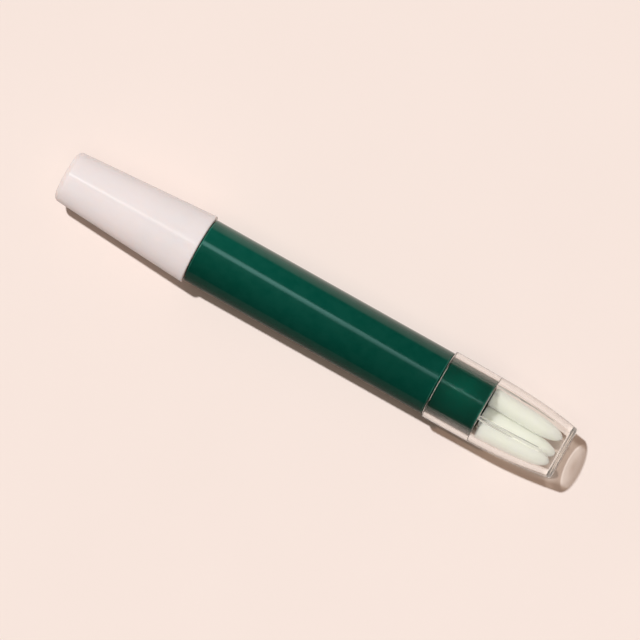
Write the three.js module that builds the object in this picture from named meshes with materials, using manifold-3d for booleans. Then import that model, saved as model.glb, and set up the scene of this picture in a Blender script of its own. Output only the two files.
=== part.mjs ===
// Nail polish corrector pen, lying level on a surface, in millimetres with +Z up.
// The pen's axis runs along X: the pull-off front cap is at -X, and the clear cap that
// stores three spare tips is at +X. The origin is under the middle of the pen, on the surface.
import * as THREE from "three";
import { mergeVertices } from "three/addons/utils/BufferGeometryUtils.js";
import Module from "manifold-3d";

const wasm = await Module();
wasm.setup();

// Fits and small edges
const SEAT_GAP = 0.1; // along the axis, where one face seats on another
const PRESS_GAP = 0.05; // on the radius, where a piece is pushed in for good
const SLIDE_GAP = 0.15; // on the radius, where a piece pulls out by hand
const LOOSE_GAP = 0.2; // between the spare tips, and from them to the wall they lie on
const EDGE = 0.3; // rounded edges of mouths and shoulders

// Barrel: a tube with a neck for the front cap and a spigot for the clear cap
const BARREL_R = 7.5;
const BARREL_LENGTH = 59.8; // between the two shoulders
const BARREL_WALL = 1.8;
const NECK_STEP = 0.85; // from the barrel's round down to the neck
const NECK_LENGTH = 5.6;
const SPIGOT_STEP = 0.7; // from the barrel's round down to the spigot
const SPIGOT_LENGTH = 11.4;
const BEAD_HEIGHT = 0.1; // snap rings on the neck and the spigot
const BEAD_WIDTH = 1.0;
const BARREL_RIBS = 6; // inside, holding the reservoir clear of the wall so that air can pass
const BARREL_RIB_WIDTH = 0.7;
const BARREL_RIB_HEIGHT = 0.5;

// Fibre tips: the one in use and the three spare ones are alike
const TIP_LENGTH = 17.6;
const TIP_R = 2.15;
const TIP_NOSE = 7.0; // length of the rounded point
const TIP_EDGE = 0.25;

// Tip holder: a plug in the neck, a flange, a sealing land, and a cone with the tip's socket
const HOLDER_PLUG_LENGTH = 8.0;
const HOLDER_FLANGE = 1.0;
const HOLDER_FLANGE_STEP = 0.45; // from the neck's round down to the flange
const LAND_LENGTH = 3.3;
const CONE_LENGTH = 3.3;
const NOSE_WALL = 0.8;
const SOCKET_DEPTH = 6.0;
const VENTS = 4; // air grooves along the socket
const VENT_WIDTH = 0.6;
const VENT_DEPTH = 0.4;

// Front cap: a tapered shell with a closed, flat end
const CAP_LIP = 0.68; // how far the mouth stands out from the barrel
const CAP_TAPER = 2.23; // from the mouth's round down to the end's
const CAP_ROOM = 7.4; // clear room past the point of the tip in use
const CAP_WALL = 1.2;
const CAP_END_WALL = 1.3;
const CAP_END_ROUND = 1.2;

// Inner seal: a soft bush in the front cap that closes on the holder's land and cone
const SEAL_LENGTH = 5.8;
const SEAL_STEP = 0.3; // how far the cap steps in past the seal
const SEAL_WALL = 1.58; // round the holder's land

// Feed and reservoir
const WICK_R = 1.2;
const WICK_IN_RESERVOIR = 4.0;
const WRAP = 0.15; // thickness of the film round the reservoir

// Rear plug: a cup pushed into the end of the barrel
const PLUG_LENGTH = 6.0;
const PLUG_WALL = 1.1;
const PLUG_RECESS = 0.3;

// Clear cap: a straight socket, then a chamber whose wall curves in to a flat end
const STORE_LIP = 0.6; // how far the mouth stands out from the barrel
const STORE_DRAFT = 0.11; // from the mouth's round down to the round at the step
const STORE_CURVE_IN = 1.85; // from the round at the step down to the end's
const STORE_ROOM = 1.2; // how much longer the chamber is than a tip
const STORE_WALL = 1.45;
const STORE_END_WALL = 1.2;
const STORE_END_ROUND = 1.0;
const STORE_CHAMFER = 0.4;
const STORE_RIBS = 3;
const STORE_RIB_WIDTH = 0.8;
const STORE_RIB_HEIGHT = 0.6; // at the step
const STORE_RIB_TURN = 18; // degrees from the top of the pen to the first rib
const SPARE_TIP_TURN = 160; // degrees from the top to the tip that lies lowest
const SPARE_TIP_ENDS = [0.9, 0.75, 0.95]; // from each tip's point to the end wall

// How finely the round forms are cut
const FACETS = 32;
const TIP_FACETS = 24;
const CURVE_STEPS = 3;
const TIP_NOSE_STEPS = 8;
const STORE_CURVE_STEPS = 9;
const MERGE = 1e-4;

// Radii, each from the round or the piece that it fits
const barrelBoreR = BARREL_R - BARREL_WALL;
const neckR = BARREL_R - NECK_STEP;
const spigotR = BARREL_R - SPIGOT_STEP;
const barrelRibR = barrelBoreR - BARREL_RIB_HEIGHT;
const insertR = barrelBoreR - PRESS_GAP;
const wrapOuterR = barrelRibR - PRESS_GAP;
const wrapInnerR = wrapOuterR - WRAP;
const reservoirR = wrapInnerR - PRESS_GAP;
const wickBoreR = WICK_R + PRESS_GAP;
const socketR = TIP_R + SLIDE_GAP;
const noseR = socketR + NOSE_WALL;
const flangeR = neckR - HOLDER_FLANGE_STEP;
const capBoreR = neckR + BEAD_HEIGHT + SLIDE_GAP;
const capMouthR = BARREL_R + CAP_LIP;
const capEndR = capMouthR - CAP_TAPER;
const storeBoreR = spigotR + BEAD_HEIGHT + SLIDE_GAP;
const storeMouthR = BARREL_R + STORE_LIP;
const storeStepR = storeMouthR - STORE_DRAFT;
const storeEndR = storeStepR - STORE_CURVE_IN;

// Lengths of the two caps, each from what it covers
const noseLength = SEAT_GAP + HOLDER_FLANGE + LAND_LENGTH + CONE_LENGTH;
const tipReach = NECK_LENGTH + noseLength + TIP_LENGTH - SOCKET_DEPTH;
const capLength = tipReach + CAP_ROOM + CAP_END_WALL;
const storeLength = SPIGOT_LENGTH + TIP_LENGTH + STORE_ROOM + STORE_END_WALL;
const overall = capLength + BARREL_LENGTH + storeLength + 2 * SEAT_GAP;

// Places along the pen, from the front cap's closed end to the clear cap's flat end
const xCapEnd = -overall / 2;
const xCapMouth = xCapEnd + capLength;
const xFrontShoulder = xCapMouth + SEAT_GAP;
const xNeckEnd = xFrontShoulder - NECK_LENGTH;
const xRearShoulder = xFrontShoulder + BARREL_LENGTH;
const xSpigotEnd = xRearShoulder + SPIGOT_LENGTH;
const xStoreMouth = xRearShoulder + SEAT_GAP;
const xStoreStep = xSpigotEnd + SEAT_GAP;
const xStoreEnd = xStoreMouth + storeLength;
const xChamberEnd = xStoreEnd - STORE_END_WALL;
const xFlangeBack = xNeckEnd - SEAT_GAP;
const xFlangeFront = xFlangeBack - HOLDER_FLANGE;
const xLandFront = xFlangeFront - LAND_LENGTH;
const xNose = xLandFront - CONE_LENGTH;
const xSocketFloor = xNose + SOCKET_DEPTH;
const xHolderBack = xNeckEnd + HOLDER_PLUG_LENGTH;
const xReservoirFront = xHolderBack + SEAT_GAP;
const xPlugBack = xSpigotEnd - PLUG_RECESS;
const xPlugFront = xPlugBack - PLUG_LENGTH;
const xReservoirBack = xPlugFront - SEAT_GAP;
const xSealBack = xFlangeFront - SEAT_GAP;
const xSealFront = xSealBack - SEAL_LENGTH;

// Turns an outline, drawn as radius and place along the pen, about the pen's axis.
function revolve(outline, facets = FACETS) {
  const points = outline.getPoints(CURVE_STEPS);
  return new THREE.LatheGeometry(points, facets).rotateZ(-Math.PI / 2);
}

// A closed geometry as a solid that can be joined and cut.
function solid(geometry) {
  const bare = new THREE.BufferGeometry();
  bare.setAttribute("position", geometry.getAttribute("position"));
  bare.setIndex(geometry.getIndex());
  const merged = mergeVertices(bare, MERGE);
  const vertProperties = merged.getAttribute("position").array;
  const triVerts = new Uint32Array(merged.getIndex().array);
  return new wasm.Manifold(new wasm.Mesh({ numProp: 3, vertProperties, triVerts }));
}

// A joined or cut solid as a geometry again.
function geometryOf(made) {
  const mesh = made.getMesh();
  const geometry = new THREE.BufferGeometry();
  geometry.setAttribute("position", new THREE.BufferAttribute(mesh.vertProperties, 3));
  geometry.setIndex(new THREE.BufferAttribute(mesh.triVerts, 1));
  geometry.computeVertexNormals();
  return geometry;
}

// Bars round the axis like spokes. The plan of a bar, along the pen and across it, is raised
// from the axis out to a radius, and repeated at even turns from a first turn off the top.
function spokes(count, firstTurn, plan, radius) {
  const bars = [];
  for (let i = 0; i < count; i += 1) {
    const bar = new THREE.ExtrudeGeometry(plan, {
      depth: radius,
      bevelEnabled: false,
      curveSegments: CURVE_STEPS,
    });
    bars.push(solid(bar.rotateX(firstTurn + (i * 2 * Math.PI) / count)));
  }
  return bars.reduce((all, bar) => all.add(bar));
}

// The plan of a plain bar.
function barPlan(from, to, width) {
  const plan = new THREE.Shape();
  plan.moveTo(from, -width / 2);
  plan.lineTo(to, -width / 2);
  plan.lineTo(to, width / 2);
  plan.lineTo(from, width / 2);
  return plan;
}

// A low snap ring on a cylinder that an outline is following along the pen.
function bead(outline, radius, middle) {
  outline.lineTo(radius, middle - BEAD_WIDTH / 2);
  outline.quadraticCurveTo(radius + 2 * BEAD_HEIGHT, middle, radius, middle + BEAD_WIDTH / 2);
}

// Radius of the front cap's outside at a place along the pen.
function capRadius(x) {
  return THREE.MathUtils.mapLinear(x, xCapEnd, xCapMouth, capEndR, capMouthR);
}

// Radius of the clear cap's outside: a slight draft over the socket, then an arc that leaves
// the step along the axis and has come in to the end's radius at the end.
const storeRun = xStoreEnd - xStoreStep;
const storeArc = (storeRun ** 2 + STORE_CURVE_IN ** 2) / (2 * STORE_CURVE_IN);
function storeRadius(x) {
  if (x < xStoreStep) {
    return THREE.MathUtils.mapLinear(x, xStoreMouth, xStoreStep, storeMouthR, storeStepR);
  }
  return storeStepR - storeArc + Math.sqrt(storeArc ** 2 - (x - xStoreStep) ** 2);
}

// Radius of the chamber's wall, inside the clear cap.
function chamberRadius(x) {
  return storeRadius(x) - STORE_WALL;
}

// The seal's seat in the front cap, and the holder's land, which fills the seal's bore
const sealSeatR = capRadius(xSealFront) - CAP_WALL + SEAL_STEP;
const sealR = sealSeatR - PRESS_GAP;
const landBoreR = sealR - SEAL_WALL;
const landR = landBoreR - SLIDE_GAP;

// Looks of the materials
const white = { color: 0xebe2e1, roughness: 0.28, metalness: 0 };
const green = { color: 0x004a38, roughness: 0.12, metalness: 0 };
const clear = { color: 0xf4f1ee, roughness: 0.05, metalness: 0, transparent: true, opacity: 0.25 };
const fibre = { color: 0xf1f2e2, roughness: 0.9, metalness: 0 };
const natural = { color: 0xf0eee8, roughness: 0.45, metalness: 0 };
const film = { color: 0xe9edf0, roughness: 0.2, metalness: 0 };

// The pen lies on the front cap's mouth, its widest round.
const pen = new THREE.Group();
pen.position.z = capMouthR;

function place(name, geometry, look, parent = pen) {
  const mesh = new THREE.Mesh(geometry, new THREE.MeshStandardMaterial(look));
  mesh.name = name;
  parent.add(mesh);
  return mesh;
}

// Front cap: the bore slides on the neck, and the seal is pushed in against a step.
function frontCap() {
  const outline = new THREE.Path();
  const xRound = xCapEnd + CAP_END_ROUND;
  const xCavityEnd = xCapEnd + CAP_END_WALL;
  const cavityEndR = capRadius(xCavityEnd) - CAP_WALL;
  outline.moveTo(0, xCapEnd);
  outline.lineTo(capEndR - CAP_END_ROUND, xCapEnd);
  outline.quadraticCurveTo(capEndR, xCapEnd, capRadius(xRound), xRound);
  outline.lineTo(capMouthR, xCapMouth - EDGE);
  outline.quadraticCurveTo(capMouthR, xCapMouth, capMouthR - EDGE, xCapMouth);
  outline.lineTo(capBoreR + EDGE, xCapMouth);
  outline.lineTo(capBoreR, xCapMouth - EDGE);
  outline.lineTo(capBoreR, xSealBack);
  outline.lineTo(sealSeatR, xSealBack);
  outline.lineTo(sealSeatR, xSealFront - SEAT_GAP);
  outline.lineTo(capRadius(xSealFront - SEAT_GAP) - CAP_WALL, xSealFront - SEAT_GAP);
  outline.lineTo(capRadius(xCavityEnd + EDGE) - CAP_WALL, xCavityEnd + EDGE);
  outline.quadraticCurveTo(cavityEndR, xCavityEnd, cavityEndR - EDGE, xCavityEnd);
  outline.lineTo(0, xCavityEnd);
  return revolve(outline);
}

// Inner seal: a bush with a bore for the land and a taper that follows the holder's cone.
function capInnerSeal() {
  const outline = new THREE.Path();
  const slope = (landR - noseR) / CONE_LENGTH;
  const xTaper = xLandFront - SLIDE_GAP;
  const throatR = landBoreR - (xTaper - xSealFront) * slope;
  outline.moveTo(throatR, xSealFront);
  outline.lineTo(sealR - EDGE, xSealFront);
  outline.lineTo(sealR, xSealFront + EDGE);
  outline.lineTo(sealR, xSealBack);
  outline.lineTo(landBoreR + EDGE, xSealBack);
  outline.quadraticCurveTo(landBoreR, xSealBack, landBoreR, xSealBack - EDGE);
  outline.lineTo(landBoreR, xTaper);
  outline.closePath();
  return revolve(outline);
}

// Barrel: the neck, the body and the spigot are one tube with ribs along its bore.
function barrel() {
  const outline = new THREE.Path();
  outline.moveTo(barrelBoreR, xNeckEnd);
  outline.lineTo(neckR - EDGE, xNeckEnd);
  outline.lineTo(neckR, xNeckEnd + EDGE);
  bead(outline, neckR, xFrontShoulder - NECK_LENGTH / 2);
  outline.lineTo(neckR, xFrontShoulder);
  outline.lineTo(BARREL_R - EDGE, xFrontShoulder);
  outline.quadraticCurveTo(BARREL_R, xFrontShoulder, BARREL_R, xFrontShoulder + EDGE);
  outline.lineTo(BARREL_R, xRearShoulder - EDGE);
  outline.quadraticCurveTo(BARREL_R, xRearShoulder, BARREL_R - EDGE, xRearShoulder);
  outline.lineTo(spigotR, xRearShoulder);
  bead(outline, spigotR, xRearShoulder + SPIGOT_LENGTH / 2);
  outline.lineTo(spigotR, xSpigotEnd - EDGE);
  outline.quadraticCurveTo(spigotR, xSpigotEnd, spigotR - EDGE, xSpigotEnd);
  outline.lineTo(barrelBoreR, xSpigotEnd);
  outline.closePath();
  const tube = solid(revolve(outline));
  const rooted = (barrelBoreR + spigotR) / 2;
  const ribPlan = barPlan(xReservoirFront, xReservoirBack, BARREL_RIB_WIDTH);
  const core = new THREE.Path();
  core.moveTo(0, xReservoirFront - EDGE);
  core.lineTo(barrelRibR, xReservoirFront - EDGE);
  core.lineTo(barrelRibR, xReservoirBack + EDGE);
  core.lineTo(0, xReservoirBack + EDGE);
  const ribs = spokes(BARREL_RIBS, 0, ribPlan, rooted).subtract(solid(revolve(core)));
  return geometryOf(tube.add(ribs));
}

// Tip holder: closes the barrel's front, and grips the tip in a socket with air grooves.
function tipHolder() {
  const outline = new THREE.Path();
  outline.moveTo(wickBoreR, xSocketFloor);
  outline.lineTo(socketR, xSocketFloor);
  outline.lineTo(socketR, xNose + EDGE);
  outline.lineTo(socketR + EDGE, xNose);
  outline.lineTo(noseR - EDGE, xNose);
  outline.quadraticCurveTo(noseR, xNose, noseR, xNose + EDGE);
  outline.lineTo(landR, xLandFront);
  outline.lineTo(landR, xFlangeFront);
  outline.lineTo(flangeR - EDGE, xFlangeFront);
  outline.quadraticCurveTo(flangeR, xFlangeFront, flangeR, xFlangeFront + EDGE);
  outline.lineTo(flangeR, xFlangeBack);
  outline.lineTo(insertR, xFlangeBack);
  outline.lineTo(insertR, xHolderBack - EDGE);
  outline.lineTo(insertR - EDGE, xHolderBack);
  outline.lineTo(wickBoreR, xHolderBack);
  outline.closePath();
  const body = solid(revolve(outline));
  const ventPlan = barPlan(xNose - EDGE, xSocketFloor - EDGE, VENT_WIDTH);
  return geometryOf(body.subtract(spokes(VENTS, Math.PI / VENTS, ventPlan, socketR + VENT_DEPTH)));
}

// Fibre tip: a straight rod with a rounded point, drawn from its flat back end at zero.
function fibreTip() {
  const outline = new THREE.Path();
  outline.moveTo(0, 0);
  outline.lineTo(TIP_R - TIP_EDGE, 0);
  outline.lineTo(TIP_R, TIP_EDGE);
  outline.lineTo(TIP_R, TIP_LENGTH - TIP_NOSE);
  for (let i = 1; i <= TIP_NOSE_STEPS; i += 1) {
    const turn = (i / TIP_NOSE_STEPS) * (Math.PI / 2);
    outline.lineTo(TIP_R * Math.cos(turn), TIP_LENGTH - TIP_NOSE + TIP_NOSE * Math.sin(turn));
  }
  outline.lineTo(0, TIP_LENGTH);
  return revolve(outline, TIP_FACETS);
}

// Feed wick: carries the remover from the reservoir to the tip in use.
function feedWick() {
  const outline = new THREE.Path();
  outline.moveTo(0, xSocketFloor);
  outline.lineTo(WICK_R, xSocketFloor);
  outline.lineTo(WICK_R, xReservoirFront + WICK_IN_RESERVOIR);
  outline.lineTo(0, xReservoirFront + WICK_IN_RESERVOIR);
  return revolve(outline, TIP_FACETS);
}

// Fibre reservoir: a soft rod with a blind hole for the wick.
function fibreReservoir() {
  const xHoleEnd = xReservoirFront + WICK_IN_RESERVOIR + SEAT_GAP;
  const outline = new THREE.Path();
  outline.moveTo(0, xHoleEnd);
  outline.lineTo(wickBoreR, xHoleEnd);
  outline.lineTo(wickBoreR, xReservoirFront);
  outline.lineTo(reservoirR, xReservoirFront);
  outline.lineTo(reservoirR, xReservoirBack);
  outline.lineTo(0, xReservoirBack);
  return revolve(outline);
}

// Film wrap: a thin sleeve that keeps the reservoir's fibres together.
function reservoirWrap() {
  const outline = new THREE.Path();
  outline.moveTo(wrapInnerR, xReservoirFront);
  outline.lineTo(wrapOuterR, xReservoirFront);
  outline.lineTo(wrapOuterR, xReservoirBack);
  outline.lineTo(wrapInnerR, xReservoirBack);
  outline.closePath();
  return revolve(outline);
}

// Rear plug: a cup with its closed end towards the reservoir.
function rearPlug() {
  const outline = new THREE.Path();
  outline.moveTo(0, xPlugFront);
  outline.lineTo(insertR - EDGE, xPlugFront);
  outline.lineTo(insertR, xPlugFront + EDGE);
  outline.lineTo(insertR, xPlugBack - EDGE);
  outline.quadraticCurveTo(insertR, xPlugBack, insertR - EDGE, xPlugBack);
  outline.lineTo(insertR - PLUG_WALL, xPlugBack);
  outline.lineTo(insertR - PLUG_WALL, xPlugFront + PLUG_WALL + EDGE);
  outline.lineTo(insertR - PLUG_WALL - EDGE, xPlugFront + PLUG_WALL);
  outline.lineTo(0, xPlugFront + PLUG_WALL);
  return revolve(outline);
}

// An outline's curve along the clear cap, as even steps between two places.
function followStore(outline, radiusAt, from, to) {
  for (let i = 0; i <= STORE_CURVE_STEPS; i += 1) {
    const x = THREE.MathUtils.lerp(from, to, i / STORE_CURVE_STEPS);
    outline.lineTo(radiusAt(x), x);
  }
}

// Ribs inside the chamber: rounded where they start at the step, with a straight crest that
// the wall covers where it has curved in as far.
function storeRibs() {
  const half = STORE_RIB_WIDTH / 2;
  const crestR = chamberRadius(xStoreStep) - STORE_RIB_HEIGHT;
  const rootR = crestR + STORE_RIB_HEIGHT + STORE_WALL / 2;
  const xStop = xStoreStep + Math.sqrt(storeArc ** 2 - (storeArc - STORE_RIB_HEIGHT) ** 2);
  const plan = new THREE.Shape();
  plan.moveTo(xStop, -half);
  plan.lineTo(xStop, half);
  plan.lineTo(xStoreStep + half, half);
  plan.absarc(xStoreStep + half, 0, half, Math.PI / 2, (3 * Math.PI) / 2, false);
  const bars = spokes(STORE_RIBS, THREE.MathUtils.degToRad(STORE_RIB_TURN), plan, rootR);
  const core = new THREE.Path();
  core.moveTo(0, xStoreStep - EDGE);
  core.lineTo(crestR, xStoreStep - EDGE);
  core.lineTo(crestR, xStop + EDGE);
  core.lineTo(0, xStop + EDGE);
  return bars.subtract(solid(revolve(core)));
}

// Clear cap: slides on the spigot up to the step, and keeps the spare tips in its chamber.
function spareTipCap() {
  const outline = new THREE.Path();
  const endInnerR = chamberRadius(xChamberEnd);
  const xRound = xStoreEnd - STORE_END_ROUND;
  outline.moveTo(0, xChamberEnd);
  outline.lineTo(endInnerR - EDGE, xChamberEnd);
  outline.quadraticCurveTo(endInnerR, xChamberEnd, chamberRadius(xChamberEnd - EDGE), xChamberEnd - EDGE);
  followStore(outline, chamberRadius, xChamberEnd - EDGE, xStoreStep);
  outline.lineTo(storeBoreR, xStoreStep);
  outline.lineTo(storeBoreR, xStoreMouth + STORE_CHAMFER);
  outline.lineTo(storeBoreR + STORE_CHAMFER, xStoreMouth);
  outline.lineTo(storeMouthR - EDGE, xStoreMouth);
  outline.quadraticCurveTo(storeMouthR, xStoreMouth, storeRadius(xStoreMouth + EDGE), xStoreMouth + EDGE);
  followStore(outline, storeRadius, xStoreStep, xRound);
  outline.quadraticCurveTo(storeRadius(xStoreEnd), xStoreEnd, storeEndR - STORE_END_ROUND, xStoreEnd);
  outline.lineTo(0, xStoreEnd);
  return geometryOf(solid(revolve(outline)).add(storeRibs()));
}

// Spare tips: they lie side by side in the round of the chamber and lean in with its wall.
function spareTips(parent) {
  const straight = TIP_LENGTH - TIP_NOSE;
  const seatR = (x) => chamberRadius(x) - TIP_R - LOOSE_GAP;
  SPARE_TIP_ENDS.forEach((endGap, i) => {
    const xBack = xChamberEnd - endGap - TIP_LENGTH;
    const lean = Math.atan((seatR(xBack) - seatR(xBack + straight)) / straight);
    const spread = 2 * Math.asin((TIP_R + LOOSE_GAP / 2) / seatR(xBack + straight));
    const turned = new THREE.Group();
    turned.rotation.x = THREE.MathUtils.degToRad(SPARE_TIP_TURN) + (i - 1) * spread;
    parent.add(turned);
    const tip = place("spare_tip_" + (i + 1), fibreTip(), fibre, turned);
    tip.position.set(xBack, 0, seatR(xBack));
    tip.rotation.y = lean;
  });
}

place("front_cap", frontCap(), white);
place("cap_inner_seal", capInnerSeal(), natural);
place("barrel", barrel(), green);
place("tip_holder", tipHolder(), natural);
const workingTip = place("working_tip", fibreTip(), fibre);
workingTip.position.x = xSocketFloor - SEAT_GAP;
workingTip.rotation.z = Math.PI;
place("feed_wick", feedWick(), fibre);
place("fibre_reservoir", fibreReservoir(), fibre);
place("reservoir_wrap", reservoirWrap(), film);
place("rear_plug", rearPlug(), green);
place("spare_tip_cap", spareTipCap(), clear);
spareTips(pen);

export default pen;
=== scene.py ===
import math

import bmesh
import bpy
from mathutils import Matrix, Vector, noise


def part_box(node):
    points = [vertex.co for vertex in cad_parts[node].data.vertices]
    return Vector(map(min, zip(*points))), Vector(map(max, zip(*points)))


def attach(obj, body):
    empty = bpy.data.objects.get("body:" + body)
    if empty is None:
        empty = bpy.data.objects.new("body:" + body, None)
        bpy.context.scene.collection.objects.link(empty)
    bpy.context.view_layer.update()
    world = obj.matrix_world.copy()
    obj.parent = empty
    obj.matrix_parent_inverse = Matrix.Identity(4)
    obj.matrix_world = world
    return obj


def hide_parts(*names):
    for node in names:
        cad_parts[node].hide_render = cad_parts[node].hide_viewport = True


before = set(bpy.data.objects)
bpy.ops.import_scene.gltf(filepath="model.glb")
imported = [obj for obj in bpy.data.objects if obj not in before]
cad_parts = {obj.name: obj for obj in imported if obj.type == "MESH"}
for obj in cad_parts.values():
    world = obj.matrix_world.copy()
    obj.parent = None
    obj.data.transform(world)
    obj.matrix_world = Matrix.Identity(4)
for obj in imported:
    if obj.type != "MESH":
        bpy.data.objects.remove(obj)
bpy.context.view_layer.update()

# Barrel
# A polished tube of deep green plastic, moulded in one piece with a neck for the front cap
# and a spigot for the clear cap. Ribs along its bore hold the reservoir clear of the wall.
MM = 0.001
COLUMNS = 180
ON_AXIS = 1e-6


def along(node):
    """Where a piece starts and ends along the pen, in millimetres."""
    low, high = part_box(node)
    return low.x / MM, high.x / MM


def round_of(node):
    """Radius of a round piece at its widest, in millimetres."""
    low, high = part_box(node)
    return (high.z - low.z) / 2 / MM


axis_height = round_of("front_cap")


def soften(corners, steps=6, side_share=0.49):
    """Rounds an outline's corners, given as place along the pen, radius and rounding. No
    rounding takes up more than its share of the two sides that meet there."""
    points = []
    for i, (x, r, rounding) in enumerate(corners):
        here = Vector((x, r))
        if rounding == 0:
            points.append(here)
            continue
        before = Vector(corners[i - 1][:2]) - here
        after = Vector(corners[(i + 1) % len(corners)][:2]) - here
        half = before.angle(after) / 2
        most = side_share * min(before.length, after.length)
        reach = min(rounding / math.tan(half), most)
        to_middle = (before.normalized() + after.normalized()).normalized()
        middle = here + to_middle * reach / math.cos(half)
        start = here + before.normalized() * reach - middle
        end = here + after.normalized() * reach - middle
        first = math.atan2(start.y, start.x)
        sweep = math.remainder(math.atan2(end.y, end.x) - first, 2 * math.pi)
        for k in range(steps + 1):
            turn = first + sweep * k / steps
            points.append(middle + start.length * Vector((math.cos(turn), math.sin(turn))))
    return points


def even_turns(count=COLUMNS):
    """Turns about the pen's axis, evenly spaced."""
    return [2 * math.pi * i / count for i in range(count)]


def smooth_piece(name, shape, material, crisp=math.radians(40)):
    """A new object from a finished shape, smooth over its rounds and crisp at real corners.
    Each point keeps how sharply the surface turns outwards there, for the edge tone: wear
    and painted light on edges."""
    bmesh.ops.recalc_face_normals(shape, faces=shape.faces)
    corner = shape.verts.layers.float.new("corner")
    for vert in shape.verts:
        vert[corner] = max(edge.calc_face_angle_signed(0) for edge in vert.link_edges)
    mesh = bpy.data.meshes.new(name)
    shape.to_mesh(mesh)
    shape.free()
    mesh.shade_smooth()
    mesh.set_sharp_from_angle(angle=crisp)
    mesh.materials.append(material)
    piece = bpy.data.objects.new(name, mesh)
    bpy.context.scene.collection.objects.link(piece)
    even = piece.modifiers.new("even_shading", "WEIGHTED_NORMAL")
    even.keep_sharp = True
    return piece


def turned(name, outline, material, turns=None, relief=None, height=None):
    """Turns an outline about the pen's axis. Relief gives a point's own radius where the
    piece isn't round all the way, from its place along the pen, its radius and its turn."""
    turns = turns or even_turns()
    height = axis_height if height is None else height
    shape = bmesh.new()
    rings = []
    for x, r in outline:
        if r < ON_AXIS:
            rings.append([shape.verts.new((x * MM, 0, height * MM))])
            continue
        ring = []
        for turn in turns:
            own = relief(x, r, turn) if relief else r
            y = -own * math.sin(turn)
            z = height + own * math.cos(turn)
            ring.append(shape.verts.new((x * MM, y * MM, z * MM)))
        rings.append(ring)
    closed = len(rings[0]) > 1
    for i in range(len(rings) if closed else len(rings) - 1):
        one, two = rings[i], rings[(i + 1) % len(rings)]
        for k in range(len(turns)):
            n = (k + 1) % len(turns)
            corners = [one[k % len(one)], one[n % len(one)], two[n % len(two)], two[k % len(two)]]
            shape.faces.new(list(dict.fromkeys(corners)))
    return smooth_piece(name, shape, material)


def stand_for(piece, node, body):
    """The piece is seen in place of the plain solid, and moves with its body."""
    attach(piece, body)
    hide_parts(node)


def put(tree, kind, inputs=None, **settings):
    """Adds a node. Settings are its own fields, and inputs are values or sockets to link."""
    made = tree.nodes.new(kind)
    for field, value in settings.items():
        setattr(made, field, value)
    for socket, value in (inputs or {}).items():
        if isinstance(value, bpy.types.NodeSocket):
            tree.links.new(value, made.inputs[socket])
        else:
            made.inputs[socket].default_value = value
    return made


def between(tree, share, first, second):
    """A colour between two, by a share that changes over the surface."""
    made = put(tree, "ShaderNodeMix", {0: share, 6: first, 7: second}, data_type="RGBA")
    return made.outputs[2]


def ramp(tree, value, low, high, to_low=0.0, to_high=1.0):
    """Brings a value that runs from low to high to another range, and stops at its ends."""
    made = put(
        tree,
        "ShaderNodeMapRange",
        {"Value": value, "From Min": low, "From Max": high, "To Min": to_low, "To Max": to_high},
    )
    return made.outputs["Result"]


def combine(tree, first, second, operation="MULTIPLY"):
    """One value made from two."""
    made = put(tree, "ShaderNodeMath", {0: first, 1: second}, operation=operation)
    return made.outputs[0]


def point_value(tree, name):
    """A value that the points of a mesh keep."""
    return put(tree, "ShaderNodeAttribute", attribute_name=name).outputs["Fac"]


def grain(tree, scale, stretch=(1, 1, 1), detail=2.0):
    """Noise in the piece's own space. Scale is in features per metre."""
    place = put(tree, "ShaderNodeTexCoord").outputs["Object"]
    fitted = put(tree, "ShaderNodeMapping", {"Vector": place, "Scale": stretch})
    made = put(
        tree,
        "ShaderNodeTexNoise",
        {"Vector": fitted.outputs["Vector"], "Scale": scale, "Detail": detail},
    )
    return made.outputs["Fac"]


COLOUR, VALUE = "NodeSocketColor", "NodeSocketFloat"


def shared_effect(name, inputs, outputs):
    """A new shader node group: its tree, the sockets inside it that give and that take."""
    tree = bpy.data.node_groups.new(name, "ShaderNodeTree")
    for label, kind, value in inputs:
        tree.interface.new_socket(label, in_out="INPUT", socket_type=kind).default_value = value
    for label, kind in outputs:
        tree.interface.new_socket(label, in_out="OUTPUT", socket_type=kind)
    given = tree.nodes.new("NodeGroupInput").outputs
    taken = tree.nodes.new("NodeGroupOutput").inputs
    return tree, given, taken


def make_moulded_skin():
    """Moulded plastic: faint flow in its colour, fine rub marks in its gloss, a soft skin."""
    tree, given, taken = shared_effect(
        "moulded_skin",
        [
            ("Colour", COLOUR, (0.5, 0.5, 0.5, 1)),
            ("Flow colour", COLOUR, (0.4, 0.4, 0.4, 1)),
            ("Roughness", VALUE, 0.3),
            ("Rub marks", VALUE, 0.1),
        ],
        [("Colour", COLOUR), ("Roughness", VALUE), ("Height", VALUE)],
    )
    flow = ramp(tree, grain(tree, scale=90, stretch=(0.35, 1, 1), detail=3), low=0.35, high=0.7)
    tree.links.new(between(tree, flow, given["Colour"], given["Flow colour"]), taken["Colour"])
    lengthwise = ramp(tree, grain(tree, scale=900, stretch=(0.06, 1, 1)), low=0.6, high=0.72)
    crosswise = ramp(tree, grain(tree, scale=700, stretch=(1, 0.08, 0.08)), low=0.62, high=0.74)
    marks = combine(tree, lengthwise, crosswise, "MAXIMUM")
    patches = ramp(tree, grain(tree, scale=160, detail=3), low=0.4, high=0.65)
    rubbed = combine(tree, combine(tree, marks, patches), given["Rub marks"])
    tree.links.new(combine(tree, given["Roughness"], rubbed, "ADD"), taken["Roughness"])
    tree.links.new(grain(tree, scale=2600, detail=1), taken["Height"])
    return tree


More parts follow.
